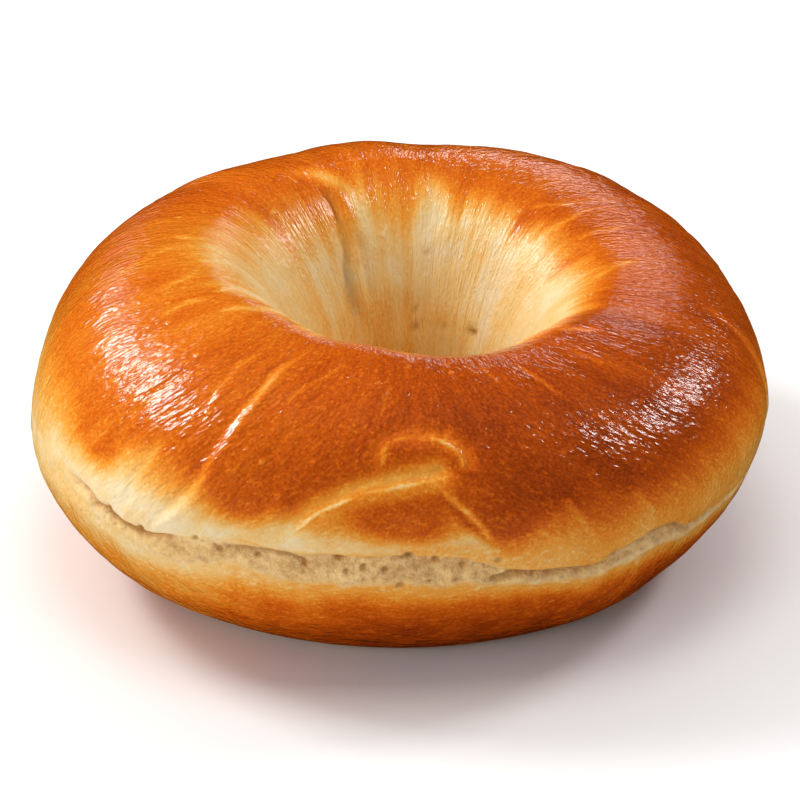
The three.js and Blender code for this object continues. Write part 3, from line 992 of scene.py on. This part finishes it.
# %% Colour
long_grain = along_grain(0.22)
freckles = spots(place, 2300.0, 1.0)
fine_streaks = spots(long_grain, 0.9, 3.0, 0.6)
grain_fine = along_grain(0.55)
leather_fine = spots(grain_fine, 2.4, 2.0, 0.6)
domes = maths("ABSOLUTE", leather_fine * 2 - 1, 0)
blister_cells = node("ShaderNodeTexVoronoi", {}, {"Vector": place, "Scale": 190.0})
blisters = 1 - step(blister_cells, 0.06, 0.12)
browned = step(bake_and_shade_here, 0.05, 0.45)
speckle = (freckles - 0.5) * 0.28 + (fine_streaks - 0.5) * 0.16 - blisters * 0.12
speckle = speckle + (0.2 - domes) * 0.2 - (leather_fine - 0.5) * 0.28
toned = bake_and_shade_here + speckle * (browned * 0.6 + 0.4)

RAMP_STOPS = [
    # bake with its painted shade, and colour
    (0.0, (0.82, 0.66, 0.40, 1)),
    (0.13, (0.82, 0.54, 0.20, 1)),
    (0.28, (0.80, 0.35, 0.048, 1)),
    (0.43, (0.74, 0.22, 0.014, 1)),
    (0.58, (0.62, 0.118, 0.005, 1)),
    (0.72, (0.44, 0.066, 0.003, 1)),
    (0.86, (0.27, 0.036, 0.003, 1)),
    (1.0, (0.14, 0.020, 0.003, 1)),
]
crust_colour = node("ShaderNodeValToRGB", {}, {0: toned})
ramp = crust_colour.socket.node.color_ramp
while len(ramp.elements) < len(RAMP_STOPS):
    ramp.elements.new(0.5)
for element, (position, stop_colour) in zip(ramp.elements, RAMP_STOPS):
    element.position = position
    element.color = stop_colour

CRUMB_SHADE = (0.55, 0.25, 0.052, 1)
CRUMB_LIGHT = (0.90, 0.575, 0.21, 1)
# The colour of the painted shade in crevices.
CREVICE_SHADE_BROWN = (0.46, 0.22, 0.05, 1)
BASE_BROWN = (0.45, 0.16, 0.035, 1)
BASE_LIGHT = (0.66, 0.34, 0.10, 1)
crumb_grains = step(spots(place, 900.0, 3.0, 0.65), 0.34, 0.62)
crumb_patches = step(spots(place, 260.0, 2.0), 0.3, 0.7)
crumb_colour = mix_colours(crumb_grains * 0.6 + crumb_patches * 0.4, CRUMB_SHADE, CRUMB_LIGHT)
colour = mix_colours(crumb_here * 0.85, crust_colour, crumb_colour)
# Painted shade in crevices over the colour.
colour = mix_colours(crevice_shade_here * 0.85, colour, CREVICE_SHADE_BROWN)
under_colour = mix_colours(spots(place, 120.0, 4.0), BASE_BROWN, BASE_LIGHT)
colour = mix_colours(under_here, colour, under_colour)
print("colour stops", len(RAMP_STOPS))

# %% [markdown]
# ## Bump and gloss
# The boiled skin shines like leather, and its highlights are broken by one strong scale of
# relief just under a millimetre wide. Long wrinkles, pimples and blisters go on top, and finer
# noise stays faint, because steep fine bump turns a highlight into haze. In the hole the skin
# was stretched, so the wrinkles take over there. Crumb is rough and dull.

# %% Bump, gloss and output
BUMP_HEIGHT = 0.00013
DULL = 0.58
SKIN_GLOSS = 0.43
CRUMB_DULLER = 0.05
leather_wide = spots(grain_fine, 0.8, 1.0)
pimple_cells = node("ShaderNodeTexVoronoi", {}, {"Vector": grain_fine, "Scale": 1.3})
pimples = 1 - step(pimple_cells, 0.05, 0.42)
leather_micro = spots(place, 2800.0, 1.0)
crumb_fuzz = spots(place, 1200.0, 3.0, 0.7)
wrinkles = spots(along_grain(0.16), 1.05, 1.0)
leather = spots(along_grain(0.5), 1.3, 1.0)
section_here = node("ShaderNodeSeparateXYZ", {}, {"Vector": grain_here}, "Z")
in_hole = step(section_here, float(hole_from), float(hole_full))
crust_height = leather_wide * 0.4 + wrinkles * (0.8 + in_hole * 0.5) + leather * (2.0 - in_hole * 1.4)
crust_height = crust_height + blisters * 0.5 + pimples * 0.42 + domes * 0.24 + leather_micro * 0.14
crust_height = crust_height + crumb_fuzz * (1 - browned) * 0.9
height = crust_height * (1 - crumb_here) + crumb_fuzz * crumb_here * 3.6
bumped = node("ShaderNodeBump", {}, {"Height": height, "Strength": 1.0, "Distance": BUMP_HEIGHT})

skin = (browned * 0.4 + 0.6) * (1 - crumb_here) * (1 - under_here)
roughness = DULL - skin * SKIN_GLOSS + crumb_here * CRUMB_DULLER
shader = node("ShaderNodeBsdfPrincipled", {}, {
    "Base Color": colour,
    "Roughness": roughness,
    "IOR": 1.45,
    "Specular IOR Level": 0.7,
    "Normal": bumped,
})
node("ShaderNodeOutputMaterial", {}, {"Surface": shader})
mesh.materials.append(crust_material)
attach(crust, "root")
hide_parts("bagel")
print("material nodes", len(tree.nodes))

# %% [markdown]
# ## A plain studio
# The photograph was taken on white, so the floor is a large pale plane under a white sky. The
# crust mirrors neither of them, which would veil its brown.

# %% Floor and sky
FLOOR_HALF = 1.6
FLOOR_DROP = 0.0001
FLOOR_WHITE = (0.9, 0.9, 0.9, 1)
FLOOR_ROUGHNESS = 0.9
SKY_STRENGTH = 0.35
floor_mesh = bpy.data.meshes.new("studio_floor")
floor_corners = [(x * FLOOR_HALF, y * FLOOR_HALF, 0) for x, y in [(-1, -1), (1, -1), (1, 1), (-1, 1)]]
floor_mesh.from_pydata(floor_corners, [], [(0, 1, 2, 3)])
floor = bpy.data.objects.new("studio_floor", floor_mesh)
scene.collection.objects.link(floor)
floor.location.z = -FLOOR_DROP
floor_material = bpy.data.materials.new("studio_white")
floor_material.use_nodes = True
floor_shader = floor_material.node_tree.nodes["Principled BSDF"]
floor_shader.inputs["Base Color"].default_value = FLOOR_WHITE
floor_shader.inputs["Roughness"].default_value = FLOOR_ROUGHNESS
floor_mesh.materials.append(floor_material)
floor.visible_glossy = False

world = bpy.data.worlds.new("studio_sky")
world.use_nodes = True
world.node_tree.nodes["Background"].inputs["Color"].default_value = (1, 1, 1, 1)
world.node_tree.nodes["Background"].inputs["Strength"].default_value = SKY_STRENGTH
world.cycles_visibility.glossy = False
scene.world = world
print("floor", 2 * FLOOR_HALF, "m wide")

# %% [markdown]
# Where a highlight lies, the crust faces half way between the lamp and the camera, and that tells
# where the lamp stood. Four small softboxes stand there. Four soft ones only lift the shade, and
# the crust doesn't mirror them.

# %% Lights
LAMP_AIM = Vector((0, 0, 0.025))
SOFTBOXES = [
    # name, azimuth, elevation, distance, width, height, power, whether the crust mirrors it
    ("key_left", 157, 42, 0.9, 0.28, 0.24, 4.4, True),
    ("key_soft", 150, 52, 0.9, 0.7, 0.5, 1.3, False),
    ("fill_left", 215, 14, 0.9, 0.8, 0.4, 3.2, False),
    ("side_right", 26, 40, 0.9, 0.2, 0.18, 2.4, True),
    ("back_right", 78, 13, 0.5, 0.12, 0.03, 0.075, True),
    ("back_left", 119, 17, 0.9, 0.16, 0.08, 0.18, True),
    ("fill_back", 60, 60, 0.9, 0.6, 0.6, 0.8, False),
    ("fill_top", 270, 86, 0.9, 0.4, 0.4, 1.9, False),
]
for name, azimuth, elevation, distance, width, tall, power, mirrored in SOFTBOXES:
    lamp_data = bpy.data.lights.new(name, "AREA")
    lamp_data.shape = "RECTANGLE"
    lamp_data.size = width
    lamp_data.size_y = tall
    lamp_data.energy = power
    lamp = bpy.data.objects.new(name, lamp_data)
    level = math.cos(math.radians(elevation))
    turn = math.radians(azimuth)
    direction = Vector((math.cos(turn) * level, math.sin(turn) * level, math.sin(math.radians(elevation))))
    lamp.location = direction * distance + LAMP_AIM
    lamp.visible_glossy = mirrored
    lamp.rotation_euler = (-direction).to_track_quat("-Z", "Y").to_euler()
    scene.collection.objects.link(lamp)
print("lamps", len(SOFTBOXES))

# %% [markdown]
# The camera looks down on the bagel through a long lens, as in the photograph. Angle, distance
# and lens were fitted to the outline and to the rim of the hole.

# %% Camera
CAMERA_ELEVATION = math.radians(28.7)
CAMERA_DISTANCE = 0.56
AIM = Vector((-0.305 - middle[0], -0.44 - middle[1], 19.2)) * MM
camera_data = bpy.data.cameras.new("camera")
camera_data.lens = 165.3
camera_data.sensor_width = 36
camera = bpy.data.objects.new("camera", camera_data)
back_off = Vector((0, -math.cos(CAMERA_ELEVATION), math.sin(CAMERA_ELEVATION)))
camera.location = AIM + back_off * CAMERA_DISTANCE
camera.rotation_euler = (-back_off).to_track_quat("-Z", "Y").to_euler()
scene.collection.objects.link(camera)
scene.camera = camera
scene.view_settings.view_transform = "Standard"
print("camera", [round(v * 1000, 1) for v in camera.location], "mm")
